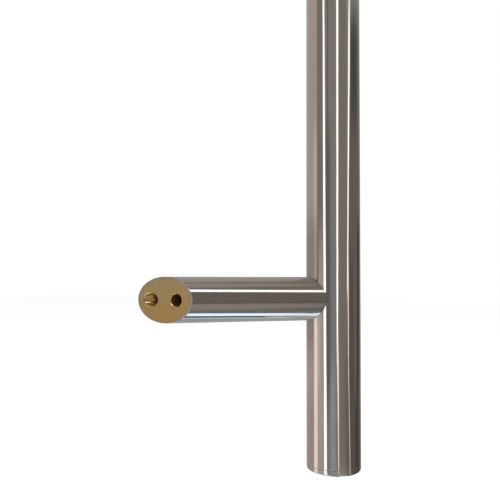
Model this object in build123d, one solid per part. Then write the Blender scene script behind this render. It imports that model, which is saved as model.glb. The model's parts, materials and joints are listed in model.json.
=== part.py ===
from build123d import *
import math
import os

# Round-bar door pull with two angled stand-offs, in millimetres.
# Frame: +Z runs up along the grip, the door's face is the plane y = 0, and the room lies on the -Y side.
# The origin is on the door's face, midway between the two fixing holes.

# Grip
GRIP_LENGTH = 600.0
GRIP_R = 16.0
GRIP_WALL = 1.5

# End caps
CAP_RIM = 3.5
CAP_ROUND = 1.5
CAP_SPIGOT_LENGTH = 12.0
SEAM_BEVEL = 0.3

# Stand-offs
FIXING_CENTRES = 400.0
STANDOFF_R = 12.7
STANDOFF_WALL = 1.0
DOOR_TO_GRIP_AXIS = 71.5
SIDE_OFFSET = 71.5
RIM_BEVEL = 0.2

# Mounting inserts, with places measured along the door's face
INSERT_LENGTH = 36.0
FIXING_TO_CENTRE = 7.7
CENTRE_TO_LOCK = 9.4
FIXING_CORE_R = 3.4
FIXING_DEPTH = 18.0
LOCK_CORE_R = 3.5
HOLE_CHAMFER = 0.4
DRILL_POINT_ANGLE = 118.0

# Set screws in the inclined holes
SET_SCREW_LENGTH = 10.0
SET_SCREW_TIP_R = 0.6
SET_SCREW_HEX = 4.0
SET_SCREW_HEX_DEPTH = 4.0

# Clamped joint between a stand-off and the grip
ABUTMENT_THICKNESS = 8.0
ABUTMENT_SETBACK = 1.5
SCREW_R = 4.0
SCREW_CORE_R = 3.4
SCREW_LENGTH = 25.0
SCREW_HEAD_R = 6.5
SCREW_HEAD_HEIGHT = 8.0
SCREW_HEX = 6.0
SCREW_HEX_DEPTH = 4.0
WASHER_R = 6.3
WASHER_THICKNESS = 2.0
WASHER_SPLIT = 1.4
WASHER_SPLIT_ANGLE = 20.0
NUT_THICKNESS = 9.0
NUT_LENGTH = 26.0

# Clearances
PRESS_GAP = 0.05
THREAD_GAP = 0.05
SCREW_HOLE_GAP = 0.5
WASHER_GAP = 0.1
JOINT_GAP = 0.1
STUD_GAP = 0.3

# Places worked out from the sizes above
FACE_CENTRE_X = FIXING_TO_CENTRE
LOCK_X = FACE_CENTRE_X + CENTRE_TO_LOCK
GRIP_X = FACE_CENTRE_X - SIDE_OFFSET
GRIP_Y = -DOOR_TO_GRIP_AXIS
STANDOFF_LENGTH = math.hypot(SIDE_OFFSET, DOOR_TO_GRIP_AXIS)
ALONG_X = SIDE_OFFSET / STANDOFF_LENGTH
ALONG_Y = DOOR_TO_GRIP_AXIS / STANDOFF_LENGTH
TUBE_LENGTH = GRIP_LENGTH - 2 * CAP_RIM
GRIP_BORE_R = GRIP_R - GRIP_WALL
STANDOFF_BORE_R = STANDOFF_R - STANDOFF_WALL
INSERT_R = STANDOFF_BORE_R - PRESS_GAP
SCREW_HOLE_R = SCREW_R + SCREW_HOLE_GAP
ABUTMENT_START = GRIP_R + ABUTMENT_SETBACK
HEAD_START = ABUTMENT_START + ABUTMENT_THICKNESS + WASHER_THICKNESS
NUT_BACK_R = GRIP_BORE_R - PRESS_GAP

FROM_START = (Align.CENTER, Align.CENTER, Align.MIN)


def rod(radius, start, end):
    """A cylinder about the local Z axis between two heights."""
    return Pos(0, 0, start) * Cylinder(radius, end - start, align=FROM_START)


def ring(outer_r, inner_r, start, end):
    """A tube about the local Z axis between two heights."""
    return rod(outer_r, start, end) - rod(inner_r, start, end)


def drill_point(radius):
    """Length of a drill's point."""
    return radius / math.tan(math.radians(DRILL_POINT_ANGLE / 2))


def drilled(radius, depth):
    """The space of a drilled hole from the local origin down +Z, with its drill point."""
    tip = Pos(0, 0, depth) * Cone(radius, 0, drill_point(radius), align=FROM_START)
    return rod(radius, -depth, depth) + tip


def hex_socket(across_flats, start, end):
    """The space of a hexagon socket about the local Z axis."""
    outline = RegularPolygon(across_flats / 2, 6, major_radius=False)
    return Pos(0, 0, start) * extrude(outline, end - start)


def along_standoff(z):
    """Local frame on the grip's axis at height z: +Z runs along the stand-off, +X is up."""
    return Plane(origin=(GRIP_X, GRIP_Y, z), x_dir=(0, 0, 1), z_dir=(ALONG_X, ALONG_Y, 0))


def into_fixing_hole(z):
    """Local frame at the mouth of a fixing hole: +Z runs into the insert, square to the door."""
    return Plane(origin=(0, 0, z), x_dir=(0, 0, 1), z_dir=(0, -1, 0))


def into_lock_hole(z):
    """Local frame at the mouth of an inclined hole: +Z runs into the insert, along the stand-off."""
    return Plane(origin=(LOCK_X, 0, z), x_dir=(0, 0, 1), z_dir=(-ALONG_X, -ALONG_Y, 0))


def door_side(z):
    """The space beyond the door's face around one stand-off."""
    size = 8 * STANDOFF_R
    return Pos(FACE_CENTRE_X, size / 2, z) * Box(size, size, size)


def face_edges(solid):
    """The edges of a solid that lie in the door's face."""
    return solid.faces().sort_by(Axis.Y)[-1].edges()


def grip_tube(heights):
    """The bar: a thin tube with one screw hole towards each stand-off."""
    half = TUBE_LENGTH / 2
    tube = ring(GRIP_R, GRIP_BORE_R, -half, half)
    rims = tube.edges().filter_by(GeomType.CIRCLE).group_by(SortBy.RADIUS)[-1]
    tube = Pos(GRIP_X, GRIP_Y, 0) * chamfer(rims, SEAM_BEVEL)
    for z in heights:
        tube -= along_standoff(z) * rod(SCREW_HOLE_R, 0, GRIP_R + GRIP_WALL)
    return tube


def end_cap(side):
    """A turned cap pressed into one end of the tube; side is -1 for the lower end and 1 for the upper."""
    spigot_r = GRIP_BORE_R - PRESS_GAP
    rim_round = min(CAP_ROUND, CAP_RIM / 2)
    round_middle = rim_round * (1 - math.sqrt(0.5))
    profile = Polyline(
        (0, -CAP_RIM),
        (GRIP_R - rim_round, -CAP_RIM),
        (GRIP_R - round_middle, round_middle - CAP_RIM),
        (GRIP_R, rim_round - CAP_RIM),
        (GRIP_R, 0),
        (spigot_r, 0),
        (spigot_r, CAP_SPIGOT_LENGTH),
        (0, CAP_SPIGOT_LENGTH),
        close=True,
    )
    cap = revolve(Plane.XZ * make_face(profile), Axis.Z)
    if side > 0:
        cap = Rot(180, 0, 0) * cap
    return Pos(GRIP_X, GRIP_Y, side * TUBE_LENGTH / 2) * cap


def standoff_tube(z):
    """The stand-off's tube: coped to the grip at one end, cut along the door's face at the other."""
    reach = STANDOFF_LENGTH + 2 * STANDOFF_R
    tube = along_standoff(z) * ring(STANDOFF_R, STANDOFF_BORE_R, 0, reach)
    tube -= Pos(GRIP_X, GRIP_Y, z) * Cylinder(GRIP_R + JOINT_GAP, 4 * STANDOFF_R)
    tube = (tube - door_side(z)).solids().sort_by(Axis.Y)[-1]
    outer_rim = face_edges(tube).sort_by(SortBy.LENGTH)[-1]
    return chamfer(outer_rim, RIM_BEVEL)


def standoff_abutment(z):
    """The disc inside the stand-off that the joint screw pulls against."""
    end = ABUTMENT_START + ABUTMENT_THICKNESS
    return along_standoff(z) * ring(INSERT_R, SCREW_HOLE_R, ABUTMENT_START, end)


def joint_screw(z):
    """The socket cap screw: plain shank, and its thread at core diameter where it is in the nut."""
    head_end = HEAD_START + SCREW_HEAD_HEIGHT
    head = rod(SCREW_HEAD_R, HEAD_START, head_end)
    head -= hex_socket(SCREW_HEX, head_end - SCREW_HEX_DEPTH, head_end)
    shank = rod(SCREW_R, GRIP_BORE_R, HEAD_START)
    thread = rod(SCREW_CORE_R - THREAD_GAP, HEAD_START - SCREW_LENGTH, GRIP_BORE_R)
    return along_standoff(z) * (head + shank + thread)


def spring_washer(z):
    """The split washer under the screw's head."""
    start = ABUTMENT_START + ABUTMENT_THICKNESS
    washer = ring(WASHER_R, SCREW_R + WASHER_GAP, start, HEAD_START)
    split = Pos(WASHER_R, 0, start + WASHER_THICKNESS / 2)
    split *= Rot(WASHER_SPLIT_ANGLE, 0, 0) * Box(2 * WASHER_R, WASHER_SPLIT, 4 * WASHER_THICKNESS)
    return along_standoff(z) * (washer - split)


def saddle_nut(z):
    """The tapped block inside the grip, rounded to fit the tube's wall."""
    block = Pos(GRIP_X, GRIP_Y, z) * Cylinder(NUT_BACK_R, NUT_LENGTH)
    front = NUT_BACK_R - NUT_THICKNESS
    keep = Pos(0, 0, front) * Box(NUT_LENGTH, 2 * GRIP_R, GRIP_R, align=FROM_START)
    block = block & (along_standoff(z) * keep)
    return block - along_standoff(z) * rod(SCREW_CORE_R, 0, GRIP_R)


def mounting_insert(z):
    """The brass plug: cut along the door's face, tapped square to it, and drilled along the stand-off."""
    reach = STANDOFF_LENGTH + 2 * STANDOFF_R
    plug = along_standoff(z) * rod(INSERT_R, STANDOFF_LENGTH - INSERT_LENGTH, reach)
    plug -= door_side(z)
    plug -= into_fixing_hole(z) * drilled(FIXING_CORE_R, FIXING_DEPTH)
    to_fixing_axis = LOCK_X / ALONG_X
    plug -= into_lock_hole(z) * drilled(LOCK_CORE_R, to_fixing_axis - drill_point(LOCK_CORE_R))
    mouths = face_edges(plug).sort_by(SortBy.LENGTH)[:-1]
    return chamfer(mouths, HOLE_CHAMFER)


def set_screw(z):
    """The cone-point screw whose cone lies along the stud's side, a small gap away."""
    radius = LOCK_CORE_R - THREAD_GAP
    tip = (LOCK_X - FIXING_CORE_R - STUD_GAP) / ALONG_X - SET_SCREW_TIP_R * ALONG_Y / ALONG_X
    cone = (radius - SET_SCREW_TIP_R) * ALONG_Y / ALONG_X
    start = tip - SET_SCREW_LENGTH
    body = rod(radius, start, tip - cone)
    body += Pos(0, 0, tip - cone) * Cone(radius, SET_SCREW_TIP_R, cone, align=FROM_START)
    body -= hex_socket(SET_SCREW_HEX, start, start + SET_SCREW_HEX_DEPTH)
    return into_lock_hole(z) * body


STANDOFF_PIECES = {
    "standoff_tube": standoff_tube,
    "standoff_abutment": standoff_abutment,
    "joint_screw": joint_screw,
    "spring_washer": spring_washer,
    "saddle_nut": saddle_nut,
    "mounting_insert": mounting_insert,
    "set_screw": set_screw,
}


def build():
    """Every piece of the handle by its name."""
    places = {"lower": -FIXING_CENTRES / 2, "upper": FIXING_CENTRES / 2}
    pieces = {
        "grip_tube": grip_tube(places.values()),
        "lower_end_cap": end_cap(-1),
        "upper_end_cap": end_cap(1),
    }
    for end, z in places.items():
        for name, make in STANDOFF_PIECES.items():
            pieces[f"{end}_{name}"] = make(z)
    return pieces


if __name__ == "__main__":
    os.makedirs("parts", exist_ok=True)
    for node, solid in build().items():
        export_step(solid, f"parts/{node}.step")
        print(node, round(solid.volume, 1))
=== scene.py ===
import json
import math

import bmesh
import bpy
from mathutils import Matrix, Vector


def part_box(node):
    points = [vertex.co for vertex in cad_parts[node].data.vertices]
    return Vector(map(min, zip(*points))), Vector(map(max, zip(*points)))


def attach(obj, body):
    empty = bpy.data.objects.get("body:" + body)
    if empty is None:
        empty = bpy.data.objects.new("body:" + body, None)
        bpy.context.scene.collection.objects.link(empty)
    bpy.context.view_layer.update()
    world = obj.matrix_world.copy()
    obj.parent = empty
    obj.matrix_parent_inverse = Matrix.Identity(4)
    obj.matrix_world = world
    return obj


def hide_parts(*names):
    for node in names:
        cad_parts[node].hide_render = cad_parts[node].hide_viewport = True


# Looks for a round-bar door pull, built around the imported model. Lengths are in metres.
# The door's face is the plane y = 0, the room is on the -Y side and +Z runs up along the bar.

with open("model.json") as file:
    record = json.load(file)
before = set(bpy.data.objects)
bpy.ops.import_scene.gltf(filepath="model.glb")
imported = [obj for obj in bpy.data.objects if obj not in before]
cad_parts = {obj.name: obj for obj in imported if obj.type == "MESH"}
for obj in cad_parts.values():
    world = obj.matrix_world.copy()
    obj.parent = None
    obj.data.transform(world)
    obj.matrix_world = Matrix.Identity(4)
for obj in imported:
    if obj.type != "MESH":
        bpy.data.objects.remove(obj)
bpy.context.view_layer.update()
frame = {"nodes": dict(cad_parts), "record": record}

MM = 0.001

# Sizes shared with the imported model
GRIP_R = 16.0 * MM
GRIP_WALL = 1.5 * MM
CAP_ROUND = 1.5 * MM
CAP_SPIGOT_LENGTH = 12.0 * MM
SEAM_BEVEL = 0.3 * MM
STANDOFF_R = 12.7 * MM
STANDOFF_WALL = 1.0 * MM
RIM_BEVEL = 0.2 * MM
INSERT_LENGTH = 36.0 * MM
CENTRE_TO_LOCK = 9.4 * MM
FIXING_CORE_R = 3.4 * MM
FIXING_DEPTH = 18.0 * MM
LOCK_CORE_R = 3.5 * MM
HOLE_CHAMFER = 0.4 * MM
DRILL_POINT_ANGLE = 118.0
SCREW_HOLE_R = 4.5 * MM
PRESS_GAP = 0.05 * MM
JOINT_GAP = 0.1 * MM

# Sizes of the looks alone
CAP_EASE = 0.12 * MM
PLUG_GAP = 0.01 * MM
PLUG_EASE = 0.03 * MM
RIM_LAND = 0.03 * MM
JOINT_LIP = 0.22 * MM
CUT_OVERSHOOT = 1.0 * MM
# A face whose middle is this near the door's plane lies in it.
FLAT_MARGIN = 0.001 * MM
# A guard is a narrow ring beside an ease, which keeps the ease's bend out of a long face's smooth shading.
GUARD = 0.1 * MM
# A turned profile starts and ends this close to its axis.
AXIS_R = 1e-9

# Places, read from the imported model
mounts = {mount["name"]: mount for mount in frame["record"]["mounts"]}
LOWER_Z = mounts["lower_foot"]["pos_m"][2]
UPPER_Z = mounts["upper_foot"]["pos_m"][2]
FACE_CENTRE_X = mounts["lower_foot"]["pos_m"][0]
FIXING_X = mounts["door_fixings"]["pos_m"][0]
tube_low, tube_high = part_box("grip_tube")
GRIP_X = (tube_low.x + tube_high.x) / 2
GRIP_Y = (tube_low.y + tube_high.y) / 2
TUBE_HALF = tube_high.z
CAP_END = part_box("upper_end_cap")[1].z
LOCK_X = FACE_CENTRE_X + CENTRE_TO_LOCK
STANDOFF_LENGTH = math.hypot(FACE_CENTRE_X - GRIP_X, GRIP_Y)
ALONG = Vector((FACE_CENTRE_X - GRIP_X, -GRIP_Y, 0)) / STANDOFF_LENGTH
ACROSS = Vector((ALONG.y, -ALONG.x, 0))
UP = Vector((0, 0, 1))

# Sizes worked out from the ones above
GRIP_BORE_R = GRIP_R - GRIP_WALL
COPE_R = GRIP_R + JOINT_GAP
STANDOFF_BORE_R = STANDOFF_R - STANDOFF_WALL
PLUG_R = STANDOFF_BORE_R - PLUG_GAP
PLUG_BACK = STANDOFF_LENGTH - INSERT_LENGTH
DRILL_POINT = FIXING_CORE_R / math.tan(math.radians(DRILL_POINT_ANGLE / 2))
DRILL_TIP_R = 0.001 * FIXING_CORE_R
# The inclined hole ends inside the straight one, this far short of its axis.
LOCK_END = 0.3 * FIXING_CORE_R
# The bar has rings this far above and below each stand-off's axis.
BELT = 0.8 * STANDOFF_R

# Mesh steps
ROUND_STEPS = 256
PLUG_STEPS = 192
HOLE_STEPS = 96
SCREW_HOLE_STEPS = 48
ARC_STEPS = 10
SEAM_EASE_STEPS = 4
CAP_EASE_STEPS = 3
RIM_STEPS = 4
SHARP_ANGLE = math.radians(28)
PLUG_SHARP_ANGLE = math.radians(12)
MERGE_DISTANCE = 1e-8


def turns(count):
    """Equal angles round a full turn."""
    return [math.tau * i / count for i in range(count)]


def mesh_object(name, verts, faces):
    """A new mesh object from points and faces, with its normals turned outwards."""
    mesh = bpy.data.meshes.new(name)
    mesh.from_pydata(verts, [], faces)
    obj = bpy.data.objects.new(name, mesh)
    bpy.context.scene.collection.objects.link(obj)
    bm = bmesh.new()
    bm.from_mesh(mesh)
    bmesh.ops.remove_doubles(bm, verts=bm.verts, dist=MERGE_DISTANCE)
    bmesh.ops.recalc_face_normals(bm, faces=bm.faces)
    bm.to_mesh(mesh)
    bm.free()
    return obj


def smooth(obj, angle):
    """Smooth shading that keeps the edges sharper than the angle."""
    mesh = obj.data
    mesh.polygons.foreach_set("use_smooth", [True] * len(mesh.polygons))
    mesh.set_sharp_from_angle(angle=angle)
    mesh.update()


def ring_faces(first, second, count):
    """Quads between two closed rings of points that start at the given indices."""
    return [
        (first + i, first + (i + 1) % count, second + (i + 1) % count, second + i)
        for i in range(count)
    ]


def loft(name, rings, closed=False):
    """A skin through rings of equal count, with the last joined to the first or with both ends filled."""
    count = len(rings[0])
    verts = [point for ring in rings for point in ring]
    faces = []
    for k in range(len(rings) - 1):
        faces += ring_faces(k * count, (k + 1) * count, count)
    last = (len(rings) - 1) * count
    if closed:
        faces += ring_faces(last, 0, count)
    else:
        faces.append(tuple(range(count)))
        faces.append(tuple(range(last, last + count)))
    return mesh_object(name, verts, faces)


def turned_rings(profile):
    """Rings of points about the grip's axis for a profile of (radius, height) pairs."""
    return [
        [(GRIP_X + radius * math.cos(a), GRIP_Y + radius * math.sin(a), height) for a in turns(ROUND_STEPS)]
        for radius, height in profile
    ]


def arc(centre_r, centre_h, radius, start, end, steps=ARC_STEPS):
    """Points of an arc in a profile, from one angle to another in degrees."""
    points = []
    for i in range(steps + 1):
        angle = math.radians(start + (end - start) * i / steps)
        points.append((centre_r + radius * math.cos(angle), centre_h + radius * math.sin(angle)))
    return points


def cut(obj, cutter):
    """Cuts one mesh with another and removes the cutter."""
    modifier = obj.modifiers.new("cut", "BOOLEAN")
    modifier.operation = "DIFFERENCE"
    modifier.solver = "EXACT"
    modifier.object = cutter
    graph = bpy.context.evaluated_depsgraph_get()
    mesh = bpy.data.meshes.new_from_object(obj.evaluated_get(graph))
    obj.modifiers.clear()
    obj.data = mesh
    bpy.data.objects.remove(cutter)


def along_standoff(s, radius, angle, z):
    """A point of the stand-off: s along its axis from the grip's axis, at an angle round it from the top."""
    outwards = UP * math.cos(angle) + ACROSS * math.sin(angle)
    return Vector((GRIP_X, GRIP_Y, z)) + ALONG * s + outwards * radius


def reach_to_door(radius, angle, depth=0.0):
    """How far along the stand-off a line on its surface meets a plane a depth inside the door's face."""
    return (-depth - GRIP_Y - ACROSS.y * math.sin(angle) * radius) / ALONG.y


def reach_to_cope(radius, angle):
    """How far along the stand-off a line on its surface leaves the coped end's cylinder."""
    return math.sqrt(COPE_R ** 2 - (radius * math.sin(angle)) ** 2)


# Pieces


def grip_bar():
    """The bar: a tube with eased ends, and a screw hole towards each stand-off."""
    ease = SEAM_BEVEL
    top = [(GRIP_BORE_R, TUBE_HALF), (GRIP_R - ease, TUBE_HALF)]
    top += arc(GRIP_R - ease, TUBE_HALF - ease, ease, 90, 0, SEAM_EASE_STEPS)[1:]
    top.append((GRIP_R, TUBE_HALF - ease - GUARD))
    belts = [UPPER_Z + BELT, UPPER_Z - BELT, LOWER_Z + BELT, LOWER_Z - BELT]
    outer = [(GRIP_R, z) for z in belts]
    bottom = [(radius, -height) for radius, height in reversed(top)]
    inner = [(GRIP_BORE_R, z) for z in reversed(belts)]
    bar = loft("grip_bar", turned_rings(top + outer + bottom + inner), closed=True)
    for z in (LOWER_Z, UPPER_Z):
        rings = []
        for s in (GRIP_R / 2, GRIP_R + GRIP_WALL):
            rings.append([along_standoff(s, SCREW_HOLE_R, a, z) for a in turns(SCREW_HOLE_STEPS)])
        cut(bar, loft("hole", rings))
    return bar


def end_cap(name, side):
    """A turned cap with a rounded rim, a fine ease at the seam, and its spigot inside the tube."""
    spigot = GRIP_BORE_R - PRESS_GAP
    ease = CAP_EASE
    rim = CAP_END - TUBE_HALF
    profile = [(AXIS_R, rim), (GRIP_R / 2, rim)]
    profile += arc(GRIP_R - CAP_ROUND, rim - CAP_ROUND, CAP_ROUND, 90, 0)
    profile += [(GRIP_R, rim - CAP_ROUND - GUARD), (GRIP_R, ease + GUARD)]
    profile += arc(GRIP_R - ease, ease, ease, 0, -90, CAP_EASE_STEPS)
    profile += [(spigot, 0), (spigot, -CAP_SPIGOT_LENGTH), (AXIS_R, -CAP_SPIGOT_LENGTH)]
    return loft(name, turned_rings([(radius, side * (TUBE_HALF + height)) for radius, height in profile]))


def standoff_skin(name, z):
    """The stand-off's tube: coped to the grip with a narrow lip, and an eased rim along the door's face."""
    angles = turns(ROUND_STEPS)
    rows = []

    def row(radius, reach):
        rows.append([along_standoff(reach(radius, a), radius, a, z) for a in angles])

    row(STANDOFF_BORE_R, reach_to_cope)
    row(STANDOFF_R - JOINT_LIP, reach_to_cope)
    row(STANDOFF_R, lambda r, a: reach_to_cope(r, a) + JOINT_LIP)
    for share in (0.25, 0.5, 0.75):
        row(STANDOFF_R, lambda r, a: share * reach_to_door(r, a) + (1 - share) * reach_to_cope(r, a))
    row(STANDOFF_R, lambda r, a: reach_to_door(r, a, RIM_BEVEL + GUARD))
    for step in range(RIM_STEPS + 1):
        turn = math.radians(90 * step / RIM_STEPS)
        inset = RIM_BEVEL * (1 - math.cos(turn))
        depth = RIM_BEVEL * (1 - math.sin(turn))
        row(STANDOFF_R - inset, lambda r, a: reach_to_door(r, a, depth))
    row(STANDOFF_R - RIM_BEVEL - RIM_LAND, reach_to_door)
    row(STANDOFF_BORE_R, reach_to_door)
    return loft(name, rows, closed=True)


def hole_ring(x, depth, z, half_x, half_z):
    """An oval ring of points in a plane a depth inside the door's face."""
    return [(x + half_x * math.cos(a), -depth, z + half_z * math.sin(a)) for a in turns(HOLE_STEPS)]


def straight_hole(z):
    """The space of the hole square to the door, with its countersink and drill point."""
    profile = [
        (-HOLE_CHAMFER, FIXING_CORE_R + 2 * HOLE_CHAMFER),
        (HOLE_CHAMFER, FIXING_CORE_R),
        (FIXING_DEPTH, FIXING_CORE_R),
        (FIXING_DEPTH + DRILL_POINT, DRILL_TIP_R),
    ]
    return loft("straight", [hole_ring(FIXING_X, depth, z, radius, radius) for depth, radius in profile])


def inclined_hole(z):
    """The space of the hole drilled along the stand-off, with an ease along its oval mouth."""
    profile = [
        (-CUT_OVERSHOOT, HOLE_CHAMFER + CUT_OVERSHOOT),
        (HOLE_CHAMFER, 0.0),
        (LOCK_X - FIXING_X - LOCK_END, 0.0),
    ]
    rings = []
    for depth, widen in profile:
        x = LOCK_X - depth * ALONG.x / ALONG.y
        rings.append(hole_ring(x, depth, z, LOCK_CORE_R / ALONG.y + widen, LOCK_CORE_R + widen))
    return loft("inclined", rings)


def insert_plug(name, z):
    """The brass plug: cut along the door's face, with a fine ease at its edge, and drilled twice."""
    angles = turns(PLUG_STEPS)
    rim = PLUG_R - PLUG_EASE
    rows = [
        [along_standoff(PLUG_BACK, PLUG_R, a, z) for a in angles],
        [along_standoff(reach_to_door(PLUG_R, a, PLUG_EASE), PLUG_R, a, z) for a in angles],
        [along_standoff(reach_to_door(rim, a), rim, a, z) for a in angles],
    ]
    plug = loft(name, rows)
    cut(plug, straight_hole(z))
    cut(plug, inclined_hole(z))
    return plug


def moved_copy(obj, name, rise):
    """A copy of a piece with its mesh moved up."""
    copy = bpy.data.objects.new(name, obj.data.copy())
    bpy.context.scene.collection.objects.link(copy)
    for vertex in copy.data.vertices:
        vertex.co.z += rise
    return copy


# Materials


class Nodes:
    """A small helper that adds shader nodes to a tree and links them."""

    def __init__(self, tree):
        self.tree = tree
        tree.nodes.clear()

    def add(self, kind, settings=None, inputs=None):
        """A new node with its settings and its inputs, which are values or other nodes' outputs."""
        node = self.tree.nodes.new(kind)
        for key, value in (settings or {}).items():
            setattr(node, key, value)
        for key, value in (inputs or {}).items():
            self.feed(node, key, value)
        return node

    def feed(self, node, key, value):
        """Links an output to an input, or sets the input to a value."""
        socket = node.inputs[key]
        if isinstance(value, bpy.types.NodeSocket):
            self.tree.links.new(value, socket)
        else:
            socket.default_value = value

    def math(self, operation, *values):
        """The result of a Math node."""
        return self.add("ShaderNodeMath", {"operation": operation}, dict(enumerate(values))).outputs[0]

    def ramp(self, value, low, high, to_low=0.0, to_high=1.0):
        """A smooth step from to_low at low to to_high at high."""
        inputs = {"Value": value, "From Min": low, "From Max": high, "To Min": to_low, "To Max": to_high}
        return self.add("ShaderNodeMapRange", {"interpolation_type": "SMOOTHSTEP"}, inputs).outputs["Result"]

    def mix(self, factor, first, second, label=""):
        """The first colour where the factor is 0, and the second where it is 1."""
        settings = {"data_type": "RGBA", "clamp_factor": True, "label": label}
        # A Mix node's inputs 0, 6 and 7 are its factor and its two colours, and output 2 is their mix.
        return self.add("ShaderNodeMix", settings, {0: factor, 6: first, 7: second}).outputs[2]

    def noise(self, vector, scale, detail=2.0, roughness=0.5):
        """The value of a noise texture."""
        inputs = {"Vector": vector, "Scale": scale, "Detail": detail, "Roughness": roughness}
        return self.add("ShaderNodeTexNoise", None, inputs).outputs["Fac"]

    def stretched(self, scale, rotation=(0, 0, 0)):
        """Object coordinates turned and then scaled along each axis."""
        coords = self.add("ShaderNodeTexCoord").outputs["Object"]
        turned = self.add("ShaderNodeMapping", None, {"Vector": coords, "Rotation": rotation}).outputs[0]
        return self.add("ShaderNodeMapping", None, {"Vector": turned, "Scale": scale}).outputs[0]


def rgba(colour, share=1.0):
    """A colour times a share, with full alpha."""
    return tuple(share * value for value in colour) + (1,)


def new_material(name):
    """A new material and the helper for its nodes."""
    material = bpy.data.materials.new(name)
    material.use_nodes = True
    return material, Nodes(material.node_tree)


BUMP_DEPTH = 0.02 * MM


def finish_material(nodes, colour, roughness, height, bump, metallic=1.0):
    """Ends a material with a metal shader and a fine bump."""
    bumped = nodes.add("ShaderNodeBump", None, {"Height": height, "Strength": bump, "Distance": BUMP_DEPTH})
    inputs = {"Metallic": metallic, "Base Color": colour, "Roughness": roughness, "Normal": bumped.outputs[0]}
    shader = nodes.add("ShaderNodeBsdfPrincipled", None, inputs)
    nodes.add("ShaderNodeOutputMaterial", None, {"Surface": shader.outputs[0]})


# Noise scales are in cells per metre. A long grain has few cells along the piece and many across it.
GRAIN_ACROSS = 5200
GRAIN_ALONG = 36
TURNED_GRAIN = 1800
SMUDGES = (38, 38, 11)
TURNING_MARKS = (1500, 1500, 6000)
DRILL_STREAKS = (700, 700, 700)
BRASS_PATCHES = 130.0
BRASS_GRIT = 4200.0
BRASS_MARKS = (900, 900, 5200)
BRASS_MARK_TURN = (0, math.radians(24), 0)


def grained_steel(name, tone, roughness, across, along, rotation=(0, 0, 0)):
    """Polished steel with a faint grain along one axis, slight smudges and hairline scratches."""
    material, nodes = new_material(name)
    grain = nodes.noise(nodes.stretched((across, across, along), rotation), 1.0, 3.0, 0.6)
    smudges = nodes.noise(nodes.stretched(SMUDGES, rotation), 1.0)
    worn = nodes.ramp(smudges, 0.35, 0.7, 0.0, 0.02)
    rough = nodes.math("ADD", nodes.ramp(grain, 0.3, 0.7, roughness - 0.02, roughness + 0.02), worn)
    colour = nodes.mix(nodes.ramp(grain, 0.25, 0.75), rgba(tone), rgba(tone, 0.95))
    finish_material(nodes, colour, rough, grain, 0.12)
    return material


def satin_brass(warm, pale):
    """Machined brass: mottled satin with fine pits, greyer towards its upper part and warmer below."""
    material, nodes = new_material("satin_brass")
    coords = nodes.stretched((1, 1, 1))
    patches = nodes.noise(coords, BRASS_PATCHES, 3.0, 0.6)
    grit = nodes.noise(coords, BRASS_GRIT, 2.0, 0.6)
    marks = nodes.noise(nodes.stretched(BRASS_MARKS, BRASS_MARK_TURN), 1.0)
    within = nodes.add("ShaderNodeTexCoord").outputs["Generated"]
    height_in_plug = nodes.add("ShaderNodeSeparateXYZ", None, {0: within}).outputs[2]
    greyness = nodes.math("MULTIPLY_ADD", nodes.math("SUBTRACT", patches, 0.5), 1.6, height_in_plug)
    colour = nodes.mix(nodes.ramp(greyness, 0.1, 0.9), rgba(warm), rgba(pale))
    clouded = nodes.ramp(patches, 0.3, 0.7, 0.36, 0.42)
    scored = nodes.ramp(marks, 0.4, 0.7, 0.0, 0.04)
    height = nodes.math("ADD", nodes.math("MULTIPLY", grit, 0.5), nodes.math("MULTIPLY", marks, 0.5))
    finish_material(nodes, colour, nodes.math("ADD", clouded, scored), height, 0.18)
    return material


def drilled_brass(name, tone, roughness, metallic):
    """The smoother walls that a drill leaves, with faint streaks on them. Each hole's tone is given with it,
    and the straight hole's darker, less metallic brass is painted shade.
    """
    material, nodes = new_material(name)
    streaks = nodes.noise(nodes.stretched(DRILL_STREAKS), 1.0, 3.0, 0.6)
    colour = nodes.mix(nodes.ramp(streaks, 0.3, 0.7), rgba(tone), rgba(tone, 0.86))
    rough = nodes.ramp(streaks, 0.3, 0.7, roughness, roughness + 0.03)
    finish_material(nodes, colour, rough, streaks, 0.02, metallic)
    return material


def plain_steel(name, tone, roughness):
    """Turned or cut steel with fine tool marks."""
    material, nodes = new_material(name)
    marks = nodes.noise(nodes.stretched(TURNING_MARKS), 1.0)
    colour = nodes.mix(nodes.ramp(marks, 0.3, 0.7), rgba(tone), rgba(tone, 0.85))
    rough = nodes.ramp(marks, 0.3, 0.7, roughness - 0.04, roughness + 0.05)
    finish_material(nodes, colour, rough, marks, 0.15)
    return material


GRIP_TONE = (0.62, 0.60, 0.57)
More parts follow.
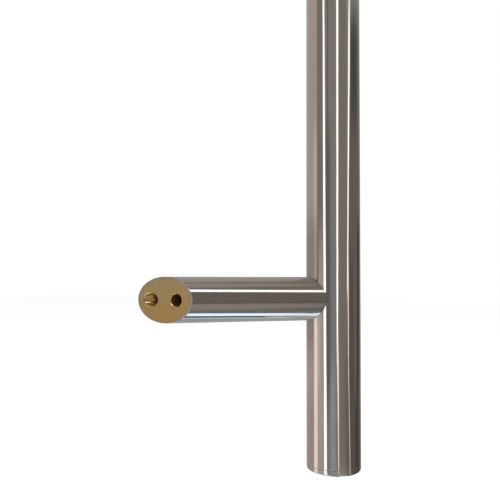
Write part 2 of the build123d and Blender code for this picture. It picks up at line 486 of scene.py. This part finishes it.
# The stand-offs' steel is a darker copy of the grip's: painted shade for the dimmer reflections they show.
STANDOFF_SHADED_TONE = (0.46, 0.43, 0.40)
BRASS_WARM = (0.49, 0.34, 0.130)
BRASS_PALE = (0.50, 0.375, 0.190)
STANDOFF_TURN = (0, math.radians(-90), -math.atan2(ALONG.y, ALONG.x))
materials = {
    "grip": grained_steel("polished_grip_steel", GRIP_TONE, 0.05, GRAIN_ACROSS, GRAIN_ALONG),
    "cap": grained_steel("polished_cap_steel", GRIP_TONE, 0.13, TURNED_GRAIN, TURNED_GRAIN),
    "standoff": grained_steel(
        "polished_standoff_steel", STANDOFF_SHADED_TONE, 0.06, GRAIN_ACROSS, GRAIN_ALONG, STANDOFF_TURN
    ),
    "cut": plain_steel("cut_steel", (0.46, 0.365, 0.275), 0.38),
    # Dark steel for the lip at the joint: painted shade in the crease.
    "seam": plain_steel("shaded_joint_steel", (0.09, 0.08, 0.075), 0.45),
    "brass": satin_brass(BRASS_WARM, BRASS_PALE),
    # Darker, less metallic brass for the straight hole: painted shade in the recess.
    "straight": drilled_brass("straight_hole_brass", (0.60, 0.34, 0.12), 0.32, 0.84),
    "inclined": drilled_brass("inclined_hole_brass", (0.70, 0.49, 0.23), 0.06, 0.89),
    # Paler brass for the holes' mouths and the eased edges: a painted highlight.
    "mouth": drilled_brass("hole_mouth_brass", (0.74, 0.57, 0.32), 0.26, 1.0),
    "fastener": plain_steel("fastener_steel", (0.42, 0.42, 0.43), 0.3),
    "machined": plain_steel("machined_steel", (0.5, 0.5, 0.51), 0.3),
}


# Faces this near the plug's back are its end. Faces that look along Y more than this aren't a hole's wall.
BACK_MARGIN = 1.0 * MM
WALL_TILT = 0.95


def finish(obj, *keys):
    """Gives a piece its materials; the first one covers it until its faces say otherwise."""
    obj.data.materials.clear()
    for key in keys:
        obj.data.materials.append(materials[key])


def place(obj, slot, *nodes, angle=SHARP_ANGLE):
    """Shades a piece, gives it its body, and hides the CAD nodes that it stands for."""
    smooth(obj, angle)
    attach(obj, "root")
    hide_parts(*nodes)


def finish_standoff(tube):
    """Polished steel, with plain cut steel at the door's face, dark steel on the lip at the joint as painted
    shade in the crease, and cut steel on the +X side's eased edge as painted shade on that side.
    """
    keys = ("standoff", "cut", "seam")
    finish(tube, *keys)
    for face in tube.data.polygons:
        centre = face.center
        from_grip = math.hypot(centre.x - GRIP_X, centre.y - GRIP_Y)
        # On the +X side the eased edge takes the cut steel too, a duller, browner edge than on the other
        # side: painted shade on that side.
        on_rim = centre.y > -RIM_BEVEL and centre.x > FACE_CENTRE_X
        if centre.y > -FLAT_MARGIN or on_rim:
            face.material_index = keys.index("cut")
        # The lip at the joint takes the dark steel, which is painted shade in the crease.
        elif from_grip < COPE_R + JOINT_LIP:
            face.material_index = keys.index("seam")


def finish_plug(plug, z):
    """Satin brass, with smoother brass in each hole and along the eased edges of the cut face. The straight
    hole's darker brass is painted shade, and the paler brass at the holes' mouths and the eased edges is a
    painted highlight.
    """
    keys = ("brass", "straight", "inclined", "mouth")
    finish(plug, *keys)
    for face in plug.data.polygons:
        centre = face.center
        from_grip = (centre - Vector((GRIP_X, GRIP_Y, z))).dot(ALONG)
        from_straight = math.hypot(centre.x - FIXING_X, centre.z - z)
        from_lock = math.hypot((centre - Vector((LOCK_X, 0, z))).dot(ACROSS), centre.z - z)
        if centre.y > -FLAT_MARGIN or from_grip < PLUG_BACK + BACK_MARGIN:
            continue
        # The straight hole's wall takes the darkened brass, which is painted shade.
        if from_straight < FIXING_CORE_R and abs(face.normal.y) < WALL_TILT:
            face.material_index = keys.index("straight")
        # The mouths and eased edges take the paler brass, which is a painted highlight.
        elif centre.y > -HOLE_CHAMFER:
            face.material_index = keys.index("mouth")
        elif from_lock < LOCK_CORE_R + HOLE_CHAMFER:
            face.material_index = keys.index("inclined")


bar = grip_bar()
finish(bar, "grip")
place(bar, "grip_stainless", "grip_tube")
for end, side, z in (("lower", -1, LOWER_Z), ("upper", 1, UPPER_Z)):
    cap = end_cap(f"{end}_cap", side)
    finish(cap, "cap")
    place(cap, "cap_stainless", f"{end}_end_cap")
    tube = standoff_skin(f"{end}_standoff", z)
    finish_standoff(tube)
    place(tube, "standoff_stainless", f"{end}_standoff_tube")

lower_plug = insert_plug("lower_insert", LOWER_Z)
upper_plug = moved_copy(lower_plug, "upper_insert", UPPER_Z - LOWER_Z)
for plug, end, z in ((lower_plug, "lower", LOWER_Z), (upper_plug, "upper", UPPER_Z)):
    finish_plug(plug, z)
    place(plug, "insert_brass", f"{end}_mounting_insert", angle=PLUG_SHARP_ANGLE)

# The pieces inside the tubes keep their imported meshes.
for node, obj in frame["nodes"].items():
    if not obj.hide_render:
        finish(obj, "machined" if "abutment" in node or "nut" in node else "fastener")


# Floor, camera and light

FLOOR_Z = -0.40
FLOOR_HALF = 4.0
FLOOR_TONE = (0.9, 0.9, 0.9)
FLOOR_GLOW = 0.2


def floor():
    """A pale floor that keeps the object's shadow and that metal doesn't show."""
    corners = ((-1, -1), (1, -1), (1, 1), (-1, 1))
    verts = [(x * FLOOR_HALF, y * FLOOR_HALF, FLOOR_Z) for x, y in corners]
    obj = mesh_object("floor", verts, [(0, 1, 2, 3)])
    material, nodes = new_material("pale_floor")
    is_camera = nodes.add("ShaderNodeLightPath").outputs["Is Camera Ray"]
    diffuse = nodes.add("ShaderNodeBsdfDiffuse", None, {"Color": rgba(FLOOR_TONE)})
    glow = nodes.add("ShaderNodeEmission", None, {"Strength": nodes.math("MULTIPLY", is_camera, FLOOR_GLOW)})
    both = nodes.add("ShaderNodeAddShader", None, {0: diffuse.outputs[0], 1: glow.outputs[0]})
    nodes.add("ShaderNodeOutputMaterial", None, {"Surface": both.outputs[0]})
    obj.data.materials.append(material)
    obj.visible_glossy = False


CAMERA_PLACE = (-0.176620, 0.252502, -0.185465)
CAMERA_TURN = (92.3931, -0.2257, -152.4502)
CAMERA_LENS = 40.777
CAMERA_SENSOR = 36.0
CAMERA_NEAR = 0.01
CAMERA_FAR = 50.0


def camera():
    """The photo's camera, on the door's side of the handle."""
    data = bpy.data.cameras.new("camera")
    data.lens = CAMERA_LENS
    data.sensor_width = CAMERA_SENSOR
    data.clip_start = CAMERA_NEAR
    data.clip_end = CAMERA_FAR
    obj = bpy.data.objects.new("camera", data)
    obj.location = CAMERA_PLACE
    obj.rotation_euler = [math.radians(angle) for angle in CAMERA_TURN]
    bpy.context.scene.collection.objects.link(obj)
    bpy.context.scene.camera = obj


SOFTBOX_SIZE = 1.0
SOFTBOX_POWER = 9.0
SOFTBOX_PLACE = (-0.06, -0.07, 1.3)


def softbox():
    """A square lamp above the handle."""
    data = bpy.data.lights.new("softbox", "AREA")
    data.shape = "SQUARE"
    data.size = SOFTBOX_SIZE
    data.energy = SOFTBOX_POWER
    obj = bpy.data.objects.new("softbox", data)
    obj.location = SOFTBOX_PLACE
    obj.visible_glossy = False
    bpy.context.scene.collection.objects.link(obj)


# The studio that polished metal reflects, as soft cards on a sphere, each painted over the ones before it.
# A card is: name, azimuth of its middle, half its width, lowest and highest elevation, softness at its sides,
# softness at its ends, lean and flare in degrees per degree of elevation, level, and tint.
# Angles are in degrees. Azimuth 0 is +X and 90 is +Y, where the door would be.
WARM = (1.0, 0.88, 0.79)
SOFT = (1.0, 0.94, 0.89)
PLAIN = (1.0, 1.0, 1.0)
MAUVE = (1.0, 0.965, 0.99)
LILAC = (0.95, 0.95, 1.08)
COOL = (0.92, 1.0, 1.10)
SKY = (0.80, 1.0, 1.22)
ROOM_LEVEL = 0.30
CARDS = [
    ("far_wall", 0, 64, -90, 90, 6, 4, 0, 0, 0.52, WARM),
    ("far_wall_middle", -28, 40, -5, 3, 18, 5, 0, 0, 0.37, WARM),
    ("far_wall_lit_patch", 28, 5, 8, 12, 12, 5, 0, 0, 0.70, WARM),
    ("cream_wall", 45, 12, -13, -6, 10, 6, 0, 0, 0.57, WARM),
    ("far_wall_low", -5, 22, -60, -14, 10, 4, 0, 0, 0.45, WARM),
    ("cream_door", 29.5, 5.7, -40, -5, 7, 3, 0, 0, 1.22, WARM),
    ("cream_wall_edge", 45, 3, -9, -3, 3, 4, 0, 0, 0.72, WARM),
    ("shelf_side", 51, 13, 8, 46, 2, 9, 0, 0, 0.27, WARM),
    ("shelf_edge", 41.3, 3.2, -3, 6, 2.0, 2, 0, 0, 0.27, WARM),
    ("door_panel", 104, 20, -60, 60, 4, 8, 0, 0, 0.295, SOFT),
    ("door_panel_low", 104, 18, -14, -1, 4, 5, 0, 0, 0.29, MAUVE),
    ("door_shade", 84, 6, -10, 12, 16, 5, 0, 0, 0.18, SOFT),
    ("door_groove", 87, 1.6, -7, 60, 1.5, 8, 0, 0, 0.16, SOFT),
    ("door_low_sheen", 107, 9, -60, -12, 3, 5, 0, 0, 0.40, LILAC),
    ("window_near", 72.9, 4.4, -60, 60, 1.0, 8, -0.13, -0.05, 1.9, PLAIN),
    ("window_far", 126.2, 2.6, -6, 60, 1.0, 4, 0.10, 0.05, 1.9, PLAIN),
    ("window_far_sill", 125.8, 3.9, -60, -9, 1.5, 4, -0.23, 0.18, 1.5, WARM),
    ("side_wall", 151, 16, -60, 60, 3, 20, 0, 0, 0.265, WARM),
    ("side_wall_low", 157, 14, -24, -10, 8, 8, 0, 0, 0.265, WARM),
    ("side_wall_shade", 175, 4, -60, -12, 24, 10, 0, 0, 0.19, WARM),
    ("dark_room", -144, 34, -50, 60, 6, 14, 0, 0, 0.185, WARM),
    ("dark_room_low", -168, 9, -60, -1, 6, 6, 0, 0, 0.135, WARM),
    ("dark_room_top", -148, 12, 19, 34, 16, 8, 0, 0, 0.095, SOFT),
    ("doorway", -123, 7, -10, 3, 6, 4, 0.4, 0, 0.075, SOFT),
    ("doorway_floor", -133, 15, -60, -14, 8, 5, 0, 0, 0.09, SOFT),
    ("lamp_strip", 171.9, 1.6, -1, 60, 1.0, 2, 0.495, 0.10, 1.9, SOFT),
    ("lamp_strip_foot", 175.0, 1.2, -10, 0, 1.0, 2, 0, 0, 1.4, SOFT),
    ("lamp_strip_low", 169.2, 0.9, -60, -10, 1.8, 3, -0.66, 0, 0.85, SOFT),
    ("ceiling", -105, 75, 30, 90, 12, 8, 0, 0, 0.50, SOFT),
    ("ceiling_far", 170, 22, 50, 66, 6, 8, 0, 0, 0.33, WARM),
    ("ceiling_top", 0, 180, 66, 90, 1, 8, 0, 0, 0.50, SOFT),
    ("floor_glow_low", 146, 10, -46, -32, 24, 14, 0, 0, 0.42, SOFT),
    ("floor_glow", 140, 10, -42, -22, 28, 5, 0, 0, 0.46, SOFT),
    ("floor_far", 175, 60, -90, -56, 30, 8, 0, 0, 0.32, COOL),
]

# Cards that lie flat above or below the handle, painted over the others in their turn.
# A flat card is: name, side (1 above, -1 below), lowest and highest x, lowest and highest y for one unit of
# height, lean in y per x, softness, level, and tint.
FLAT_CARDS = [
    ("ceiling_band", 1, 0.0, 1.6, -1.6, 1.2, 0, 0.05, 0.58, SOFT),
    ("ceiling_joint", 1, -0.10, -0.03, -1.6, 1.2, 0, 0.04, 0.42, SOFT),
    ("ceiling_light_line", 1, -0.21, -0.13, -1.6, 1.2, 0, 0.03, 0.60, SOFT),
    ("ceiling_lamp", 1, -1.9, -0.3, 0.525, 0.81, 0.26, 0.03, 2.6, PLAIN),
    ("floor_room", -1, -0.05, 1.6, -1.6, 1.2, 0, 0.03, 0.62, COOL),
    ("floor_board", -1, -0.06, 0.06, -1.6, 1.2, 0, 0.03, 1.0, COOL),
    ("floor_lit", -1, 0.25, 1.2, -0.35, 0.5, 0, 0.10, 1.1, PLAIN),
    ("floor_gap", -1, -0.19, -0.08, -1.6, 1.2, 0, 0.02, 0.12, COOL),
    ("floor_window", -1, -0.42, -0.21, -0.78, -0.32, -1.2, 0.02, 2.2, SKY),
]

# The same window again, for light that has met polished steel twice: the bar's reflection in a stand-off.
TWICE_SEEN_CARD = ("floor_window_twin", -1, -0.43, 0.18, 0.13, 0.5, 0, 0.03, 2.8, SKY)
SECOND_BOUNCE = 1.5

# Flat cards end near the horizon, where the height of a direction gets too small to divide by.
LEAST_HEIGHT = 0.02
FLAT_CARD_HORIZON = 0.1
DOME_LEVEL = 0.85
WHITE = (1.0, 1.0, 1.0)


def round_mask(nodes, azimuth, elevation, middle, half, low, high, side_soft, end_soft, lean, flare):
    """Where a direction meets a card on the sphere."""
    across = nodes.math("MULTIPLY_ADD", elevation, -lean, azimuth) if lean else azimuth
    away = nodes.math("PINGPONG", nodes.math("SUBTRACT", across, middle), 180.0)
    if flare:
        away = nodes.math("MULTIPLY_ADD", elevation, -flare, away)
    mask = nodes.ramp(away, half, half + side_soft, 1.0, 0.0)
    if low > -90:
        mask = nodes.math("MULTIPLY", mask, nodes.ramp(elevation, low - end_soft, low))
    if high < 90:
        mask = nodes.math("MULTIPLY", mask, nodes.ramp(elevation, high, high + end_soft, 1.0, 0.0))
    return mask


def flat_mask(nodes, up, flat_x, flat_y, side, low_x, high_x, low_y, high_y, lean, soft):
    """Where a direction meets a flat card."""
    mask = nodes.math("GREATER_THAN", nodes.math("MULTIPLY", up, side), FLAT_CARD_HORIZON)
    leaned_y = nodes.math("MULTIPLY_ADD", flat_x, -lean, flat_y) if lean else flat_y
    for value, low, high in ((flat_x, low_x, high_x), (leaned_y, low_y, high_y)):
        mask = nodes.math("MULTIPLY", mask, nodes.ramp(value, low - soft, low))
        mask = nodes.math("MULTIPLY", mask, nodes.ramp(value, high, high + soft, 1.0, 0.0))
    return mask


def studio_colour(nodes):
    """The colour that a glossy ray finds in its direction."""
    ray = nodes.add("ShaderNodeTexCoord").outputs["Generated"]
    x, y, up = nodes.add("ShaderNodeSeparateXYZ", None, {0: ray}).outputs
    azimuth = nodes.math("MULTIPLY", nodes.math("ARCTAN2", y, x), math.degrees(1))
    elevation = nodes.math("MULTIPLY", nodes.math("ARCSINE", up), math.degrees(1))
    colour = rgba(SOFT, ROOM_LEVEL)
    for name, *shape, level, tint in CARDS:
        mask = round_mask(nodes, azimuth, elevation, *shape)
        colour = nodes.mix(mask, colour, rgba(tint, level), name)
    height = nodes.math("MAXIMUM", nodes.math("ABSOLUTE", up), LEAST_HEIGHT)
    flat_x = nodes.math("DIVIDE", x, height)
    flat_y = nodes.math("DIVIDE", y, height)
    for name, *shape, level, tint in FLAT_CARDS:
        mask = flat_mask(nodes, up, flat_x, flat_y, *shape)
        colour = nodes.mix(mask, colour, rgba(tint, level), name)
    name, *shape, level, tint = TWICE_SEEN_CARD
    bounces = nodes.add("ShaderNodeLightPath").outputs["Glossy Depth"]
    seen_twice = nodes.math("GREATER_THAN", bounces, SECOND_BOUNCE)
    mask = nodes.math("MULTIPLY", flat_mask(nodes, up, flat_x, flat_y, *shape), seen_twice)
    return nodes.mix(mask, colour, rgba(tint, level), name)


def studio_world():
    """White for the camera, the studio's cards for metal, and an even dome for the rest."""
    world = bpy.data.worlds.new("studio")
    bpy.context.scene.world = world
    world.use_nodes = True
    nodes = Nodes(world.node_tree)
    path = nodes.add("ShaderNodeLightPath")

    def glow(colour, strength):
        return nodes.add("ShaderNodeBackground", None, {"Color": colour, "Strength": strength}).outputs[0]

    def choose(ray, otherwise, shader):
        inputs = {0: path.outputs[ray], 1: otherwise, 2: shader}
        return nodes.add("ShaderNodeMixShader", None, inputs).outputs[0]

    lit = choose("Is Glossy Ray", glow(rgba(WHITE), DOME_LEVEL), glow(studio_colour(nodes), 1.0))
    seen = choose("Is Camera Ray", lit, glow(rgba(WHITE), 1.0))
    nodes.add("ShaderNodeOutputWorld", None, {"Surface": seen})


floor()
camera()
softbox()
studio_world()
bpy.context.scene.view_settings.view_transform = "Standard"
